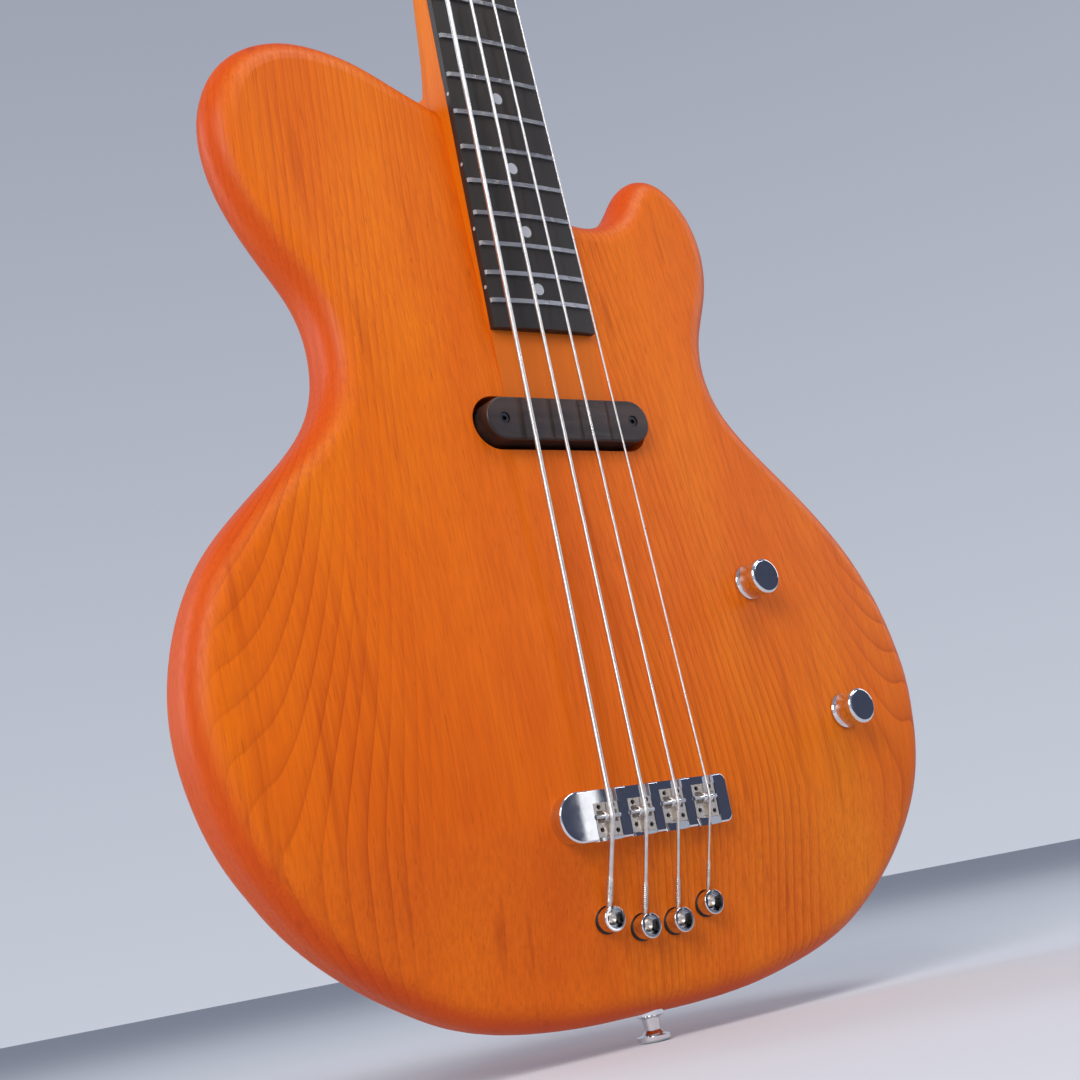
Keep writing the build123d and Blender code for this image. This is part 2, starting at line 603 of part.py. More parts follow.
for nm, r, (ax, az), tx, sz, nu, (pp, pq) in NAMES4:
    ball = Vector(ax, -23.3, az + 0.9)
    balls.append(ball)
    sgn = -1 if pp < 0 else 1
    at_saddle = Vector(tx, ROLLER_TOP - r, sz - 0.2)
    at_nut = np3(nu, SCALE + 2.5, 0.45 + r)
    ring_r = 4.5 + r
    at_post = hp3(pp - sgn * ring_r, pq - math.sqrt((4.5 + 2 * r) ** 2 - 4.5 ** 2) - 0.1, 6.4)
    wrap = ROLLER_R + r + 0.01
    for _ in range(8):
        d1, d2 = unit(at_saddle - ball), unit(at_nut - at_saddle)
        inner = unit(d2 - d1) * (wrap / math.cos(math.acos(d1.dot(d2)) / 2))
        at_saddle = Vector(tx, ROLLER_TOP + ROLLER_R - inner.Y, sz - 0.75 - inner.Z)
    s1 = ball + unit(at_saddle - ball) * BALL_R
    a1, a2, a3 = corner(s1, at_saddle, at_nut, wrap)
    b1, b2, b3 = corner(at_saddle, at_nut, at_post, 12.0)
    start = Plane(origin=s1, z_dir=unit(at_saddle - s1))
    with BuildPart() as string:
        with BuildLine() as route:
            Line(s1, a1)
            ThreePointArc(a1, a2, a3)
            Line(a3, b1)
            ThreePointArc(b1, b2, b3)
            Line(b3, at_post)
        with BuildSketch(start):
            Circle(r)
        sweep(path=route.wires()[0])
    save(string, f"string_{nm}")
    with BuildPart() as winding:
        for i in range(3):
            with BuildSketch(Plane(origin=hp3(pp, pq, 6.4 + (i - 1) * 1.9 * r), x_dir=(1, 0, 0), z_dir=(0, HD.Y, HD.Z))):
                with Locations((ring_r, 0)):
                    Circle(r)
            revolve(axis=Axis(hp3(pp, pq, 0), Vector(0, HN.Y, HN.Z)), revolution_arc=360)
    save(winding, f"winding_{nm}")

with BuildPart() as ball_ends:
    for b in balls:
        with BuildSketch(Plane(origin=b + Vector(-2.2, 0, 0), x_dir=(0, 1, 0), z_dir=(1, 0, 0))):
            Circle(BALL_R)
            Circle(1.1, mode=Mode.SUBTRACT)
        extrude(amount=4.4)
save(ball_ends, "string_ball_ends")

# ---------------------------------------------------------------- knobs, pots
KNOB_Y0, KNOB_Y1 = -26.0, -40.3
for (kx, kz), nm in zip(K, ("volume", "tone")):
    with BuildPart() as knob:
        with BuildSketch(Plane(origin=(kx, 0, kz), x_dir=(1, 0, 0), z_dir=(0, 0, 1))):
            with BuildLine():
                Polyline((0, KNOB_Y0), (9.1, KNOB_Y0), (9.1, KNOB_Y0 - 1.0))
                ThreePointArc((9.1, KNOB_Y0 - 1.0), (7.9, KNOB_Y0 - 3.2), (7.5, KNOB_Y0 - 6.8))
                ThreePointArc((7.5, KNOB_Y0 - 6.8), (8.0, KNOB_Y0 - 8.8), (9.3, KNOB_Y0 - 10.2))
                Line((9.3, KNOB_Y0 - 10.2), (9.3, KNOB_Y0 - 12.8))
                ThreePointArc((9.3, KNOB_Y0 - 12.8), (8.85, KNOB_Y0 - 13.85), (7.8, KNOB_Y1))
                Polyline((7.8, KNOB_Y1), (0, KNOB_Y1), (0, KNOB_Y0))
            make_face()
        revolve(axis=Axis((kx, 0, kz), (0, 1, 0)), revolution_arc=360)
        with BuildSketch(front(KNOB_Y0 + 1, kx, kz)):
            Circle(7.2)
        extrude(amount=3.6, mode=Mode.SUBTRACT)
        with BuildSketch(front(KNOB_Y0 + 1, kx, kz)):
            Circle(3.0)
        extrude(amount=12, mode=Mode.SUBTRACT)
    save(knob, f"{nm}_knob")
    with BuildPart() as shaft:
        with BuildSketch(front(-12.5, kx, kz)):
            Circle(3.0)
        extrude(amount=24.3)
    save(shaft, f"{nm}_shaft")

with BuildPart() as pots:
    for kx, kz in K:
        with BuildSketch(front(-3.0, kx, kz)):
            Circle(11.6)
        extrude(amount=13.9)
        with BuildSketch(front(-5.0, kx, kz)):
            Circle(10.2)
        extrude(amount=9.4, mode=Mode.SUBTRACT)
        with BuildSketch(front(-16.9, kx, kz)):
            Circle(4.75)
        extrude(amount=9.9)
        with BuildSketch(front(-6.0, kx, kz)):
            Circle(3.06)
        extrude(amount=30, mode=Mode.SUBTRACT)
        with BuildSketch(front(-7.4, kx, kz - 12.6)):
            Rectangle(10, 5)
        extrude(amount=0.8)
save(pots, "pots")

with BuildPart() as pnuts:
    for kx, kz in K:
        with BuildSketch(front(-23.2, kx, kz)):
            RegularPolygon(6.6, 6)
            Circle(4.75, mode=Mode.SUBTRACT)
        extrude(amount=2.4)
save(pnuts, "pot_nuts")

with BuildPart() as cap:
    with BuildSketch(Plane(origin=(118, -9.5, 158), x_dir=(0, 1, 0), z_dir=Vector(0.55, 0, -0.83).normalized())):
        Circle(3.6)
    extrude(amount=12)
    fillet(cap.edges().filter_by(GeomType.CIRCLE), radius=0.8)
save(cap, "tone_capacitor")

# ---------------------------------------------------------------- jack
with BuildPart() as jack:
    with BuildSketch(side(JACK_X - 36, 2, JACK_Z)):
        Circle(7.6)
    extrude(amount=36)
    with BuildSketch(side(JACK_X - 2.4, 2, JACK_Z)):
        Circle(11.5)
    extrude(amount=2.4)
    fillet(jack.faces().sort_by(Axis.X)[-1].edges(), radius=0.8)
    with BuildSketch(side(JACK_X - 33, 2, JACK_Z)):
        Circle(6.0)
    extrude(amount=24, mode=Mode.SUBTRACT)
    with BuildSketch(side(JACK_X - 40, 2, JACK_Z)):
        Circle(3.25)
    extrude(amount=60, mode=Mode.SUBTRACT)
save(jack, "output_jack")

with BuildPart() as contacts:
    with BuildSketch(Plane(origin=(JACK_X - 32.4, 2 - 1.5, JACK_Z), x_dir=(1, 0, 0), z_dir=(0, 1, 0))):
        with BuildLine():
            Polyline((0, 5.25), (19, 5.25), (21, 3.9), (23, 4.9), (23, 5.55), (0, 5.55), close=True)
        make_face()
    extrude(amount=3)
    with BuildSketch(Plane(origin=(JACK_X - 36, 2 - 1.5, JACK_Z), x_dir=(1, 0, 0), z_dir=(0, 1, 0))):
        with Locations((-3.0, 5.6)):
            Rectangle(6.0, 0.8)
        with Locations((-3.0, -5.6)):
            Rectangle(6.0, 0.8)
    extrude(amount=3)
save(contacts, "jack_contacts")

# ---------------------------------------------------------------- leads
def lead(points, bend, radius, name):
    pts = [Vector(*p) for p in points]
    with BuildPart() as wire:
        with BuildLine() as run:
            last = pts[0]
            for a, b, c in zip(pts, pts[1:], pts[2:]):
                q1, q2, q3 = corner(a, b, c, bend)
                Line(last, q1)
                ThreePointArc(q1, q2, q3)
                last = q3
            Line(last, pts[-1])
        with BuildSketch(Plane(origin=pts[0], z_dir=unit(pts[1] - pts[0]))):
            Circle(radius)
        sweep(path=run.wires()[0])
    save(wire, name)


far = Vector(36, -10, PK_Z - 4) + wd * 85
lead([(20, PK_TOP + 18.2, PK_Z), (29, PK_TOP + 18.2, PK_Z), (36, -10, PK_Z - 4), (far.X, far.Y, far.Z),
      (K[0][0] + 1, -1.6, K[0][1] + 15.5)], 2.5, 1.0, "pickup_lead")
lead([(K[1][0] + 2, -0.8, K[1][1] - 13.5), (160, 2, K[1][1] - 10), (168, 2, JACK_Z - 5.6), (173.3, 2, JACK_Z - 5.6)], 3.0, 0.9, "jack_lead")

# ---------------------------------------------------------------- back cover and strap hardware
SCR = tuple((kx + 25.6 * math.cos(math.radians(a)), kz + 25.6 * math.sin(math.radians(a)))
            for (kx, kz), a in ((K[0], 80), (K[0], 190), (K[1], 10), (K[1], 260)))
with BuildPart() as cover:
    with BuildSketch(front(BACK)):
        with Locations(*K):
            Circle(28.85)
        make_hull()
    extrude(amount=COVER_T)
    fillet(cover.faces().sort_by(Axis.Y)[-1].edges(), radius=0.5)
    with BuildSketch(front(BACK + 1)):
        with Locations(*SCR):
            Circle(1.7)
    extrude(amount=6, mode=Mode.SUBTRACT)
save(cover, "control_cover")

with BuildPart() as cscrews:
    for sx, sz in SCR:
        with BuildSketch(front(BACK, sx, sz)):
            Circle(1.6)
        extrude(amount=COVER_T)
        with BuildSketch(front(BACK + 1.1, sx, sz)):
            Circle(3.0)
        extrude(amount=1.1)
        with BuildSketch(front(BACK + 1.2, sx, sz)):
            Rectangle(3.6, 0.8)
            Rectangle(0.8, 3.6)
        extrude(amount=0.9, mode=Mode.SUBTRACT)
save(cscrews, "control_cover_screws")

PIN = [(0, 0), (7.0, 0), (7.0, 2.2), (4.2, 3.6), (3.9, 9.0), (5.2, 10.8), (8.2, 11.6), (8.2, 13.4), (6.6, 14.4), (0, 14.4)]
with BuildPart() as pins:
    with BuildSketch(Plane(origin=(0, 0, 0), x_dir=(1, 0, 0), z_dir=(0, -1, 0))):
        with BuildLine():
            Polyline(*[(x, -y) for x, y in PIN], close=True)
        make_face()
    revolve(axis=Axis((0, 0, 0), (0, 0, 1)), revolution_arc=360)
    with BuildSketch(Plane(origin=(HORN_PIN[0], BACK, HORN_PIN[1]), x_dir=(1, 0, 0), z_dir=(0, 0, 1))):
        with BuildLine():
            Polyline(*PIN, close=True)
        make_face()
    revolve(axis=Axis((HORN_PIN[0], BACK, HORN_PIN[1]), (0, 1, 0)), revolution_arc=360)
    with BuildSketch(cross(-30)):
        Circle(1.75)
    extrude(amount=40, mode=Mode.SUBTRACT)
    with BuildSketch(cross(-30)):
        Circle(3.6)
    extrude(amount=18.4, mode=Mode.SUBTRACT)
    with BuildSketch(front(BACK + 30, *HORN_PIN)):
        Circle(1.75)
    extrude(amount=40, mode=Mode.SUBTRACT)
    with BuildSketch(front(BACK + 30, *HORN_PIN)):
        Circle(3.6)
    extrude(amount=18.4, mode=Mode.SUBTRACT)
save(pins, "strap_pins")

with BuildPart() as pscrews:
    with BuildSketch(cross(-13.9)):
        Circle(1.65)
    extrude(amount=41)
    with BuildSketch(cross(-13.9)):
        Circle(3.5)
    extrude(amount=2.3)
    with BuildSketch(cross(-14.2)):
        Rectangle(4.4, 0.9)
        Rectangle(0.9, 4.4)
    extrude(amount=1.4, mode=Mode.SUBTRACT)
    with BuildSketch(front(BACK + 13.9, *HORN_PIN)):
        Circle(1.65)
    extrude(amount=37)
    with BuildSketch(front(BACK + 13.9, *HORN_PIN)):
        Circle(3.5)
    extrude(amount=2.3)
    with BuildSketch(front(BACK + 14.2, *HORN_PIN)):
        Rectangle(4.4, 0.9)
        Rectangle(0.9, 4.4)
    extrude(amount=1.4, mode=Mode.SUBTRACT)
save(pscrews, "strap_pin_screws")

# ---------------------------------------------------------------- tuners
WHEEL_R, WORM_R, DQ, R_AX = 8.0, 3.0, 11.4, -21.0
with BuildPart() as housings:
    for (p, q) in POSTS:
        s = -1 if p < 0 else 1
        with BuildSketch(head(-27.6)):
            with Locations((p, q - 3.0)):
                RectangleRounded(22, 27, 3.5)
        extrude(amount=12.6)
        with BuildSketch(head(-25.8)):
            with Locations((p, q - 3.0)):
                Rectangle(18.6, 23.8)
        extrude(amount=12, mode=Mode.SUBTRACT)
        with BuildSketch(head(-16.6)):
            with Locations((p, q + 12.8), (p, q - 18.8)):
                Rectangle(9, 8)
        extrude(amount=1.6)
        with BuildSketch(head(-18)):
            with Locations((p, q + 13.6), (p, q - 19.6)):
                Circle(1.3)
        extrude(amount=5, mode=Mode.SUBTRACT)
        with BuildSketch(head_side(p + s * 5, q - DQ, R_AX, s)):
            Circle(2.55)
        extrude(amount=12, mode=Mode.SUBTRACT)
    fillet([e for e in housings.edges() if e.length > 12 and abs((e.center() - hp3(0, 0, -27.6)).dot(Vector(0, HN.Y, HN.Z))) < 0.01], radius=1.2)
save(housings, "tuner_housings")

with BuildPart() as tscrews:
    for (p, q) in POSTS:
        for dq in (13.6, -19.6):
            with BuildSketch(head(-18.0, p, q + dq)):
                Circle(2.3)
            extrude(amount=1.4)
            with BuildSketch(head(-17, p, q + dq)):
                Circle(1.2)
            extrude(amount=10)
            with BuildSketch(head(-18.2, p, q + dq)):
                Rectangle(2.8, 0.6)
                Rectangle(0.6, 2.8)
            extrude(amount=0.9, mode=Mode.SUBTRACT)
save(tscrews, "tuner_screws")

with BuildPart() as bushings:
    for (p, q) in POSTS:
        with BuildSketch(head(-HEAD_T + 1, p, q)):
            Circle(6.0)
            Circle(4.55, mode=Mode.SUBTRACT)
        extrude(amount=HEAD_T - 1)
        with BuildSketch(head(0, p, q)):
            Circle(8.6)
            Circle(4.55, mode=Mode.SUBTRACT)
        extrude(amount=1.6)
save(bushings, "tuner_bushings")

for nm, (p, q) in zip(NAMES, POSTS):
    s = -1 if p < 0 else 1
    with BuildPart() as post:
        with BuildSketch(head(-25.4, p, q)):
            Circle(4.5)
        extrude(amount=41.4)
        with BuildSketch(head(-23.0, p, q)):
            Circle(WHEEL_R)
        extrude(amount=4.0)
        with BuildSketch(head(14.6, p, q)):
            Circle(5.6)
        extrude(amount=2.6)
        with BuildSketch(head(13.0, p, q)):
            Rectangle(1.6, 14)
        extrude(amount=6, mode=Mode.SUBTRACT)
    save(post, f"tuner_post_{nm}")
    with BuildPart() as key:
        with BuildSketch(head_side(p - s * 7.5, q - DQ, R_AX, s)):
            Circle(2.5)
        extrude(amount=34.5)
        with BuildSketch(head_side(p - s * 6.5, q - DQ, R_AX, s)):
            Circle(WORM_R)
        extrude(amount=13)
        with BuildSketch(head_side(p + s * 11.4, q - DQ, R_AX, s)):
            Circle(4.2)
        extrude(amount=2.4)
        with BuildSketch(head(R_AX - 2.3, p + s * 36.5, q - DQ)):
            RectangleRounded(19.0, 25.0, 9.0)
        extrude(amount=4.6)
    save(key, f"tuner_key_{nm}")
print(len(os.listdir("parts")), "files")
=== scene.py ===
import bpy
import json
import math
from mathutils import Matrix, Vector

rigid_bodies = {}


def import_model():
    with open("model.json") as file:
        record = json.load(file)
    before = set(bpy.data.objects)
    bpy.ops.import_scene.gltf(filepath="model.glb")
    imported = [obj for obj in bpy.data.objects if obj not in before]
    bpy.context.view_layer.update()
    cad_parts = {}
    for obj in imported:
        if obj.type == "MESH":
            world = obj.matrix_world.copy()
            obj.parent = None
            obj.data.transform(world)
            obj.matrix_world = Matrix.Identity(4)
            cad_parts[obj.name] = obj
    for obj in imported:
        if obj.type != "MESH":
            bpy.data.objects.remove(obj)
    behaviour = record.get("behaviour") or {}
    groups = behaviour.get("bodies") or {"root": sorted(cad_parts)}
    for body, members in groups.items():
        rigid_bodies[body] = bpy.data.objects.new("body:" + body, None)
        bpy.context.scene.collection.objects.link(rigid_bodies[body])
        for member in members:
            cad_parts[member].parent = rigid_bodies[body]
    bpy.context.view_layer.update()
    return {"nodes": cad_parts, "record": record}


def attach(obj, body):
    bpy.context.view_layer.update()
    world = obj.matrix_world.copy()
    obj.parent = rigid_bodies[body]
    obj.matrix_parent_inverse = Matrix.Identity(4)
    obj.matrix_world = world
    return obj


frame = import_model()
N = frame["nodes"]


scene = bpy.context.scene
scene.view_settings.view_transform = "Standard"
scene.view_settings.look = "None"


# ------------------------------------------------------------------ shader helpers
class Mat:
    def __init__(self, name):
        self.m = bpy.data.materials.new(name)
        self.m.use_nodes = True
        self.t = self.m.node_tree
        self.t.nodes.clear()
        self.out = self.t.nodes.new("ShaderNodeOutputMaterial")
        self.b = self.t.nodes.new("ShaderNodeBsdfPrincipled")
        self.t.links.new(self.b.outputs[0], self.out.inputs[0])
        tc = self.t.nodes.new("ShaderNodeTexCoord")
        self.co = tc.outputs["Object"]
        self.nrm = tc.outputs["Normal"]

    def link(self, a, b):
        self.t.links.new(a, b)

    def val(self, sock, v):
        if isinstance(v, (int, float)):
            sock.default_value = v
        elif isinstance(v, (tuple, list)):
            sock.default_value = v
        else:
            self.link(v, sock)

    def math(self, op, a, b=0.0, c=0.0, clamp=False):
        n = self.t.nodes.new("ShaderNodeMath")
        n.operation = op
        n.use_clamp = clamp
        for i, v in enumerate((a, b, c)):
            self.val(n.inputs[i], v)
        return n.outputs[0]

    def sep(self, v):
        n = self.t.nodes.new("ShaderNodeSeparateXYZ")
        self.link(v, n.inputs[0])
        return n.outputs

    def comb(self, x, y, z):
        n = self.t.nodes.new("ShaderNodeCombineXYZ")
        for i, v in enumerate((x, y, z)):
            self.val(n.inputs[i], v)
        return n.outputs[0]

    def scale(self, v, s):
        n = self.t.nodes.new("ShaderNodeVectorMath")
        n.operation = "MULTIPLY"
        self.link(v, n.inputs[0])
        n.inputs[1].default_value = s
        return n.outputs[0]

    def noise(self, v, sc, detail=3.0, rough=0.5, dist=0.0):
        n = self.t.nodes.new("ShaderNodeTexNoise")
        self.link(v, n.inputs["Vector"])
        n.inputs["Scale"].default_value = sc
        n.inputs["Detail"].default_value = detail
        n.inputs["Roughness"].default_value = rough
        n.inputs["Distortion"].default_value = dist
        return n.outputs["Fac"]

    def ramp(self, f, stops, interp="LINEAR"):
        n = self.t.nodes.new("ShaderNodeValToRGB")
        n.color_ramp.interpolation = interp
        e = n.color_ramp.elements
        while len(e) < len(stops):
            e.new(0.5)
        for el, (p, c) in zip(e, stops):
            el.position = p
            el.color = (c[0], c[1], c[2], 1) if isinstance(c, (tuple, list)) else (c, c, c, 1)
        self.link(f, n.inputs[0])
        return n.outputs[0]

    def mix(self, f, a, b, kind="MIX"):
        n = self.t.nodes.new("ShaderNodeMix")
        n.data_type = "RGBA"
        n.blend_type = kind
        self.val(n.inputs["Factor"], f)
        for sock, v in ((n.inputs[6], a), (n.inputs[7], b)):
            if isinstance(v, (tuple, list)):
                sock.default_value = (v[0], v[1], v[2], 1)
            else:
                self.link(v, sock)
        return n.outputs[2]

    def remap(self, v, a, b, c, d):
        n = self.t.nodes.new("ShaderNodeMapRange")
        n.interpolation_type = "SMOOTHSTEP"
        self.link(v, n.inputs["Value"])
        for k, x in zip(("From Min", "From Max", "To Min", "To Max"), (a, b, c, d)):
            n.inputs[k].default_value = x
        return n.outputs["Result"]

    def bump(self, h, strength, dist):
        n = self.t.nodes.new("ShaderNodeBump")
        n.inputs["Strength"].default_value = strength
        n.inputs["Distance"].default_value = dist
        self.link(h, n.inputs["Height"])
        self.link(n.outputs[0], self.b.inputs["Normal"])

    def set(self, **k):
        for key, v in k.items():
            s = self.b.inputs[key.replace("_", " ")]
            if isinstance(v, (tuple, list)):
                s.default_value = (v[0], v[1], v[2], 1)
            elif isinstance(v, (int, float)):
                s.default_value = v
            else:
                self.link(v, s)
        return self.m


def lin(r, g, b):
    f = lambda c: (c / 255 / 12.92) if c / 255 <= 0.04045 else ((c / 255 + 0.055) / 1.055) ** 2.4
    return (f(r), f(g), f(b))


def stained_wood(name, light, mid, dark, line, edge, ring=0.0040, cx=0.20, cy=0.085, amt=0.55, edge_amt=0.7, rough=(0.36, 0.5), seed=0.0, twin=True, low=None):
    m = Mat(name)
    x, y, z = m.sep(m.co)
    off = m.comb(m.math("ADD", x, seed), y, z)
    warp = m.noise(m.scale(off, (1.0, 1.0, 0.35)), 6.0, 1.0, 0.4)
    warp2 = m.noise(m.scale(off, (1.0, 1.0, 0.12)), 30.0, 2.0, 0.5)
    lean = m.math("MULTIPLY", m.math("SUBTRACT", z, 0.1), 0.14)
    xa = m.math("ABSOLUTE", x) if twin else x
    dx = m.math("SUBTRACT", xa, cx)
    dy = m.math("SUBTRACT", m.math("ADD", y, lean), cy)
    rad = m.math("SQRT", m.math("ADD", m.math("MULTIPLY", dx, dx), m.math("MULTIPLY", dy, dy)))
    rad = m.math("ADD", rad, m.math("MULTIPLY", m.math("SUBTRACT", warp, 0.5), 0.040))
    rad = m.math("ADD", rad, m.math("MULTIPLY", m.math("SUBTRACT", warp2, 0.5), 0.0022))
    ph = m.math("FRACT", m.math("DIVIDE", rad, ring))
    saw = m.ramp(ph, [(0.0, 0.0), (0.55, 0.18), (0.86, 0.55), (0.95, 1.0), (1.0, 0.0)])
    strength = m.remap(m.noise(m.scale(off, (1.0, 1.0, 0.15)), 16.0, 2.0, 0.5), 0.38, 0.75, 0.05, 1.0)
    saw = m.math("MULTIPLY", saw, strength)
    broad = m.noise(m.scale(off, (1.0, 1.0, 0.3)), 11.0, 3.0, 0.55)
    fibre = m.noise(m.scale(off, (1.0, 1.0, 0.018)), 900.0, 3.0, 0.6)
    mott = m.noise(m.scale(off, (1.0, 1.0, 0.35)), 60.0, 3.0, 0.55)
    pores = m.remap(m.noise(m.scale(off, (1.0, 1.0, 0.035)), 1500.0, 1.0, 0.5), 0.66, 0.78, 0.0, 1.0)
    streak = m.remap(m.noise(m.scale(off, (1.0, 1.0, 0.02)), 130.0, 2.0, 0.5), 0.60, 0.78, 0.0, 1.0)
    col = m.ramp(broad, [(0.25, dark), (0.5, mid), (0.75, light)])
    col = m.mix(m.math("MULTIPLY", m.remap(mott, 0.35, 0.7, 0.0, 1.0), 0.35), col, mid)
    col = m.mix(m.math("MULTIPLY", saw, amt), col, line)
    col = m.mix(m.math("MULTIPLY", m.remap(fibre, 0.35, 0.7, 0.0, 1.0), 0.22), col, line)
    col = m.mix(m.math("MULTIPLY", streak, 0.38), col, line)
    col = m.mix(m.math("MULTIPLY", pores, 0.35), col, tuple(c * 0.45 for c in line))
    if low:
        col = m.mix(m.remap(z, 0.335, 0.350, 1.0, 0.0), col, m.mix(0.82, col, low))
    nx, ny, nz = m.sep(m.nrm)
    turned = m.remap(m.math("ABSOLUTE", ny), 0.60, 0.985, 1.0, 0.0)
    col = m.mix(m.math("MULTIPLY", turned, edge_amt), col, m.mix(0.55, col, edge, "MULTIPLY"), "MIX")
    col = m.mix(m.math("MULTIPLY", turned, 0.45 * edge_amt), col, edge)
    r = m.remap(fibre, 0.2, 0.8, rough[0], rough[1])
    m.bump(m.math("ADD", m.math("MULTIPLY", fibre, 0.6), m.math("MULTIPLY", pores, -0.8)), 0.10, 0.00012)
    return m.set(Base_Color=col, Roughness=r, Specular_IOR_Level=0.20)


def dark_wood(name, a, b, rough=(0.34, 0.5), axis_x=False):
    m = Mat(name)
    s = (0.03, 1.0, 1.0) if axis_x else (1.0, 1.0, 0.03)
    f = m.noise(m.scale(m.co, s), 700.0, 4.0, 0.6)
    g = m.noise(m.scale(m.co, s), 120.0, 3.0, 0.5)
    p = m.remap(m.noise(m.scale(m.co, s), 1700.0, 1.0, 0.5), 0.62, 0.75, 0.0, 1.0)
    col = m.mix(m.remap(g, 0.35, 0.7, 0.0, 1.0), a, b)
    col = m.mix(m.math("MULTIPLY", p, 0.6), col, tuple(c * 0.3 for c in a))
    m.bump(m.math("SUBTRACT", f, m.math("MULTIPLY", p, 0.8)), 0.16, 0.00012)
    return m.set(Base_Color=col, Roughness=m.remap(f, 0.2, 0.8, *rough), Specular_IOR_Level=0.45)


def metal(name, col, rough, var=0.04, scale=260.0, stretch=(1, 1, 1), bump=0.0):
    m = Mat(name)
    n = m.noise(m.scale(m.co, stretch), scale, 4.0, 0.6)
    c = m.mix(m.remap(n, 0.3, 0.7, 0.0, 1.0), col, tuple(x * 0.93 for x in col))
    if bump:
        m.bump(n, bump, 0.0001)
    return m.set(Base_Color=c, Metallic=1.0, Roughness=m.remap(n, 0.25, 0.75, max(0.02, rough - var), rough + var))


def plastic(name, col, rough, scale=500.0, bump=0.1, coat=0.0):
    m = Mat(name)
    n = m.noise(m.co, scale, 4.0, 0.6)
    c = m.mix(m.remap(n, 0.3, 0.7, 0.0, 1.0), col, tuple(x * 0.82 for x in col))
    m.bump(n, bump, 0.0001)
    return m.set(Base_Color=c, Roughness=m.remap(n, 0.25, 0.75, rough - 0.05, rough + 0.06), Coat_Weight=coat)


def wound(name):
    m = Mat(name)
    x, y, z = m.sep(m.co)
    w = m.math("SINE", m.math("MULTIPLY", z, 2 * math.pi / 0.00045))
    n = m.noise(m.co, 300.0, 3.0, 0.5)
    c = m.mix(m.remap(n, 0.3, 0.7, 0.0, 1.0), (0.80, 0.78, 0.75), (0.66, 0.64, 0.62))
    m.bump(w, 0.25, 0.00012)
    return m.set(Base_Color=c, Metallic=1.0, Roughness=m.remap(n, 0.2, 0.8, 0.26, 0.36))


def coil_mat(name):
    m = Mat(name)
    x, y, z = m.sep(m.co)
    w = m.math("SINE", m.math("MULTIPLY", y, 2 * math.pi / 0.0002))
    n = m.noise(m.co, 300.0, 3.0, 0.5)
    c = m.mix(m.remap(n, 0.3, 0.7, 0.0, 1.0), (0.36, 0.10, 0.03), (0.22, 0.06, 0.02))
    m.bump(w, 0.2, 0.0001)
    return m.set(Base_Color=c, Metallic=0.6, Roughness=m.remap(n, 0.2, 0.8, 0.3, 0.42))


MATS = {
    "body_wood": stained_wood("body_wood", lin(238, 128, 8), lin(226, 106, 5), lin(208, 84, 3), lin(150, 38, 2), lin(206, 62, 5)),
    "neck_wood": stained_wood("neck_wood", lin(240, 146, 10), lin(232, 130, 6), lin(220, 112, 5), lin(190, 84, 4), lin(222, 108, 6),
                              ring=0.0034, cx=-0.06, cy=0.12, amt=0.5, edge_amt=0.3, seed=0.7, twin=False, low=lin(206, 96, 16)),
    "board_wood": dark_wood("board_wood", (0.014, 0.011, 0.010), (0.028, 0.019, 0.015), (0.36, 0.5)),
    "cover_wood": dark_wood("cover_wood", (0.020, 0.011, 0.009), (0.050, 0.026, 0.019), (0.32, 0.46), True),
    "chrome": metal("chrome", (0.80, 0.81, 0.83), 0.03, 0.012),
    "nickel": metal("nickel", (0.78, 0.71, 0.63), 0.42, 0.05, 500.0, (1, 1, 1), 0.08),
    "steel": metal("steel", (0.62, 0.62, 0.63), 0.30, 0.05, 400.0, (0.1, 1, 1), 0.04),
    "string_steel": wound("string_steel"),
    "brass": metal("brass", (0.78, 0.56, 0.24), 0.28, 0.05),
    "black_metal": metal("black_metal", (0.035, 0.035, 0.04), 0.34, 0.05),
    "black_plastic": plastic("black_plastic", (0.018, 0.018, 0.019), 0.42),
    "bone": plastic("bone", (0.76, 0.72, 0.62), 0.38),
    "pearl": plastic("pearl", (0.50, 0.51, 0.53), 0.26, 160.0, 0.04, 0.3),
    "copper_coil": coil_mat("copper_coil"),
    "rubber": plastic("rubber", (0.012, 0.012, 0.012), 0.55),
    "lead_jacket": plastic("lead_jacket", (0.22, 0.22, 0.23), 0.45),
}
slot_of = {s["node"]: s["material_slot"] for s in frame["record"]["subparts"]}
for name, ob in N.items():
    ob.data.materials.clear()
    ob.data.materials.append(MATS[slot_of[name]])

# ------------------------------------------------------------------ smooth shading on curved CAD faces
for name, ob in N.items():
    me = ob.data
    me.shade_smooth()
    me.set_sharp_from_angle(angle=math.radians(28))


BEVEL = {"frets": 0.0007, "saddles": 0.00025, "nut": 0.0003, "fretboard": 0.0005, "neck": 0.0004, "tuner_housings": 0.0003, "truss_rod_cover": 0.0003,
         "string_anchors": 0.0002}
for name, w in BEVEL.items():
    b = N[name].modifiers.new("soft_edges", "BEVEL")
    b.width = w
    b.segments = 2
    b.limit_method = "ANGLE"
    b.angle_limit = math.radians(40)
    b.use_clamp_overlap = True
for name in ("tuner_key_e", "tuner_key_a", "tuner_key_d", "tuner_key_g"):
    b = N[name].modifiers.new("soft_edges", "BEVEL")
    b.width = 0.0014
    b.segments = 3
    b.limit_method = "ANGLE"
    b.angle_limit = math.radians(50)

# ------------------------------------------------------------------ the heel's full rounded section where the neck leaves the body
ST, CT = math.sin(math.radians(1.5)), math.cos(math.radians(1.5))


def np3(u, v, w):
    return Vector((u, -33.6 + v * ST - w * CT, 95.5 + v * CT + w * ST)) / 1000


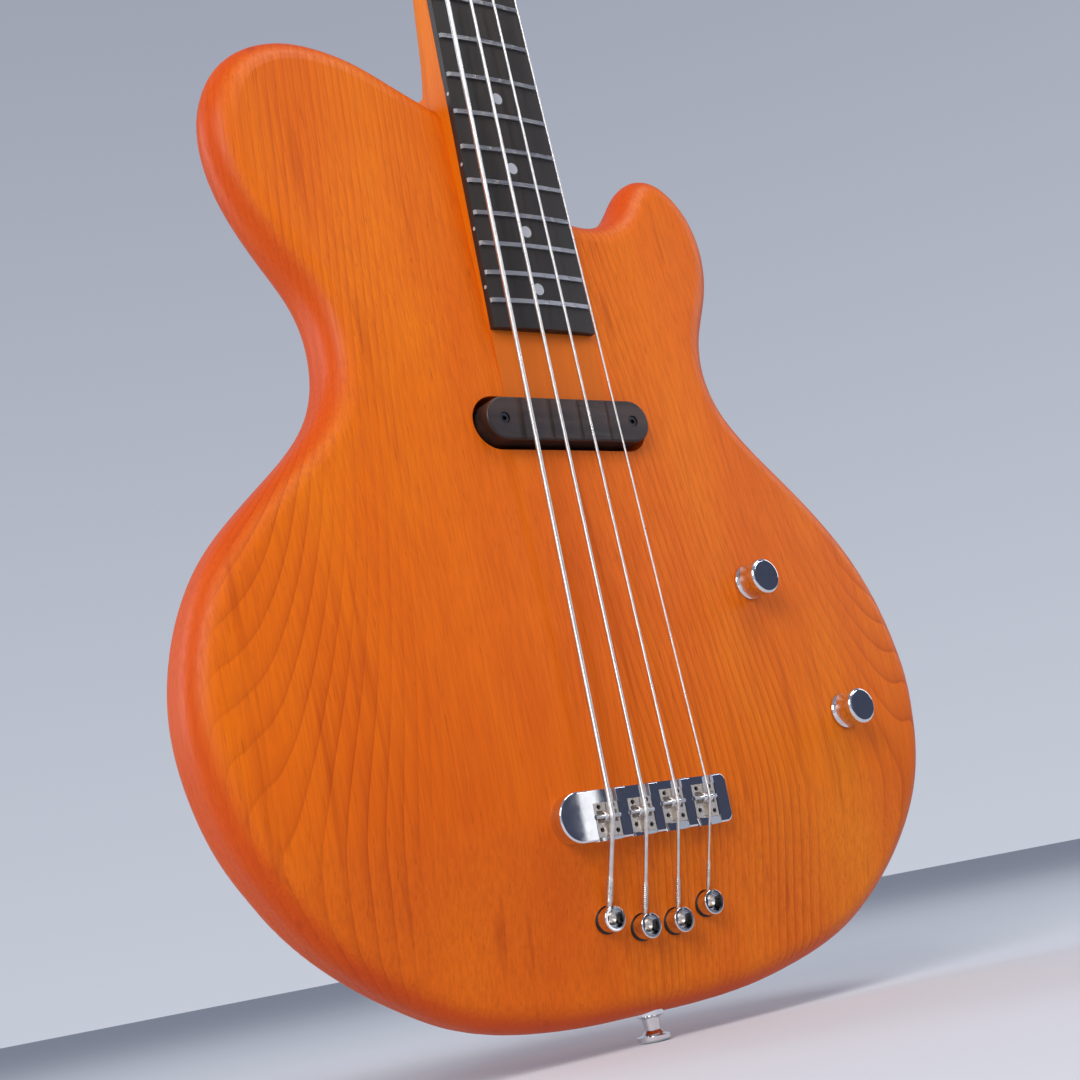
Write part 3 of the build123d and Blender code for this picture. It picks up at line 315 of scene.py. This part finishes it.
HEEL = [(384.0, -31.06, 9.0, 0.04), (392.0, -31.1, 6.0, 0.06), (402.0, -31.1, 4.6, 0.08), (414.0, -31.0, 3.9, 0.08), (428.0, -30.5, 3.5, 0.08),
        (444.0, -29.6, 3.1, 0.08), (464.0, -28.3, 2.8, 0.08), (488.0, -27.0, 2.6, 0.08), (516.0, -26.0, 2.5, 0.08), (550.0, -25.2, 2.4, 0.08),
        (590.0, -24.4, 2.3, 0.07), (640.0, -23.6, 2.25, 0.06), (720.0, -22.9, 2.2, 0.06), (800.0, -22.2, 2.2, 0.05), (858.0, -21.6, 2.2, 0.0), (869.4, -21.4, 2.2, 0.0)]
hv, hf, K = [], [], 40
for v, d, n, o in HEEL:
    hw = (40.0 + 0.03835 * (863.6 - min(v, 863.6))) / 2 + o
    for k in range(K + 1):
        f = math.pi * k / K
        c, sn = math.cos(f), math.sin(f)
        u = hw * math.copysign(abs(c) ** (2 / n), c)
        hv.append(np3(u, v, -6.25 + (d + 6.25) * abs(sn) ** (2 / n)))
for i in range(len(HEEL) - 1):
    for k in range(K):
        a = i * (K + 1) + k
        hf.append((a, a + 1, a + K + 2, a + K + 1))
hf.append(tuple(range(K + 1)))
hf.append(tuple((len(HEEL) - 1) * (K + 1) + k for k in range(K + 1))[::-1])
hm = bpy.data.meshes.new("neck_back")
hm.from_pydata([tuple(v) for v in hv], [], hf)
hm.shade_smooth()
hm.set_sharp_from_angle(angle=math.radians(40))
heel = bpy.data.objects.new("neck_back", hm)
scene.collection.objects.link(heel)
hm.materials.append(MATS["neck_wood"])
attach(heel, "instrument")


# ------------------------------------------------------------------ twisted lock-wraps at the string tails
def helix(name, start, direction, length, rad, wire, pitch, turns_phase=0.0, sides=8):
    d = direction.normalized()
    a = d.orthogonal().normalized()
    b = d.cross(a)
    n = int(length / pitch * 14)
    verts, faces = [], []
    for i in range(n + 1):
        t = i / n
        ang = 2 * math.pi * (length / pitch) * t + turns_phase
        rr = rad * (1.0 if t < 0.85 else 1.0 - 0.25 * (t - 0.85) / 0.15)
        c = start + d * (length * t) + (a * math.cos(ang) + b * math.sin(ang)) * rr
        tan = (d * pitch + (b * math.cos(ang) - a * math.sin(ang)) * 2 * math.pi * rr).normalized()
        o = (a * math.cos(ang) + b * math.sin(ang))
        q = tan.cross(o).normalized()
        w = wire * (1.0 if 0 < i < n else 0.3)
        for k in range(sides):
            f = 2 * math.pi * k / sides
            verts.append(c + (o * math.cos(f) + q * math.sin(f)) * w)
    for i in range(n):
        for k in range(sides):
            k2 = (k + 1) % sides
            faces.append((i * sides + k, i * sides + k2, (i + 1) * sides + k2, (i + 1) * sides + k))
    faces.append(tuple(range(sides))[::-1])
    faces.append(tuple(n * sides + k for k in range(sides)))
    me = bpy.data.meshes.new(name)
    me.from_pydata([tuple(v) for v in verts], [], faces)
    me.shade_smooth()
    ob = bpy.data.objects.new(name, me)
    scene.collection.objects.link(ob)
    me.materials.append(MATS["string_steel"])
    return ob


TAILS = {"e": ((-30.9, -23.3, 45.6), (-30.6, -40.4, 90.8), 1.25), "a": ((-10.8, -23.3, 39.5), (-10.2, -40.2, 91.0), 1.0),
         "d": ((9.4, -23.3, 39.3), (10.2, -40.0, 93.0), 0.78), "g": ((29.8, -23.3, 44.7), (30.6, -39.8, 93.1), 0.56)}
for k, (p0, p1, r) in TAILS.items():
    p0, p1 = Vector(p0) / 1000, Vector(p1) / 1000
    d = (p1 - p0).normalized()
    for j in range(2):
        w = helix(f"lockwrap_{k}_{j}", p0 + d * 0.0072, d, 0.0125, (r + 0.22) / 1000, 0.00030, 0.0019, math.pi * j)
        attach(w, "instrument")

# ------------------------------------------------------------------ floor, light, camera
bpy.ops.mesh.primitive_plane_add(size=60, location=(0, 0.6, -0.0146))
floor = bpy.context.object
floor.name = "floor"
fm = Mat("floor")
fn = fm.noise(fm.co, 3.0, 3.0, 0.5)
floor.data.materials.append(fm.set(Base_Color=fm.mix(fn, (0.60, 0.62, 0.66), (0.64, 0.66, 0.70)), Roughness=0.85))

world = bpy.data.worlds.new("studio")
scene.world = world
world.use_nodes = True
bg = world.node_tree.nodes["Background"]
wt = world.node_tree
wc = wt.nodes.new("ShaderNodeTexCoord")
ws = wt.nodes.new("ShaderNodeSeparateXYZ")
wt.links.new(wc.outputs["Generated"], ws.inputs[0])
wr = wt.nodes.new("ShaderNodeValToRGB")
wr.color_ramp.elements[0].position = 0.0
wr.color_ramp.elements[0].color = (0.66, 0.70, 0.80, 1)
wr.color_ramp.elements[1].position = 0.75
wr.color_ramp.elements[1].color = (0.30, 0.33, 0.42, 1)
wt.links.new(ws.outputs[2], wr.inputs[0])
wd = wt.nodes.new("ShaderNodeVectorMath")
wd.operation = "DOT_PRODUCT"
wt.links.new(wc.outputs["Generated"], wd.inputs[0])
wd.inputs[1].default_value = (0.70, -0.70, 0.12)
wm = wt.nodes.new("ShaderNodeMapRange")
wm.interpolation_type = "SMOOTHSTEP"
wt.links.new(wd.outputs["Value"], wm.inputs["Value"])
wm.inputs["From Min"].default_value = 0.55
wm.inputs["From Max"].default_value = 0.92
wx = wt.nodes.new("ShaderNodeMix")
wx.data_type = "RGBA"
wt.links.new(wm.outputs["Result"], wx.inputs["Factor"])
wt.links.new(wr.outputs[0], wx.inputs[6])
wx.inputs[7].default_value = (0.07, 0.08, 0.13, 1)
wt.links.new(wx.outputs[2], bg.inputs[0])
bg.inputs[1].default_value = 0.85


def area(name, loc, target, w, h, power, col=(1, 1, 1)):
    d = bpy.data.lights.new(name, "AREA")
    d.shape = "RECTANGLE"
    d.size, d.size_y, d.energy, d.color = w, h, power, col
    o = bpy.data.objects.new(name, d)
    scene.collection.objects.link(o)
    o.location = loc
    o.rotation_euler = (Vector(target) - Vector(loc)).to_track_quat("-Z", "Y").to_euler()
    return o


area("key", (-1.9, -1.5, 1.5), (0, 0, 0.3), 1.2, 1.2, 43, (1.0, 0.97, 0.93))
area("top", (0.5, -1.2, 2.3), (0, 0, 0.3), 1.4, 1.0, 22, (1, 1, 1))
area("fill", (2.3, -0.5, 1.2), (0, 0, 0.3), 1.0, 1.4, 9, (0.95, 0.97, 1.0))
area("rim", (-1.6, 1.3, 0.9), (0, 0, 0.3), 0.8, 1.6, 16, (0.92, 0.95, 1.0))

# narrow strip that the bridge's cap mirrors
sd = Vector((0.607, -0.792, 0.063)).normalized()
st = area("strip", Vector((-0.036, -0.0365, 0.09)) + sd * 2.0, (-0.036, -0.0365, 0.09), 0.035, 1.1, 0.14, (1, 1, 1))
st.visible_camera = False
sk = area("soft", Vector((0.0, -0.0365, 0.09)) + Vector((0.66, -0.74, 0.35)).normalized() * 2.4, (0, 0, 0.1), 0.5, 0.25, 3.0, (0.8, 0.85, 1.0))
sk.visible_camera = False
for o in bpy.data.objects:
    if o.type == "LIGHT":
        o.visible_camera = False

cam_d = bpy.data.cameras.new("camera")
cam = bpy.data.objects.new("camera", cam_d)
scene.collection.objects.link(cam)
cam_d.sensor_width = 36.0
cam_d.lens = 57.54
cam_d.clip_start = 0.01
R = Matrix(((0.80426, 0.01827, -0.59399), (-0.56450, -0.28892, -0.77322), (-0.18574, 0.95718, -0.22206)))
cam.matrix_world = Matrix.Translation((-0.5252, -0.6702, 0.0415)) @ R.to_4x4()
scene.camera = cam
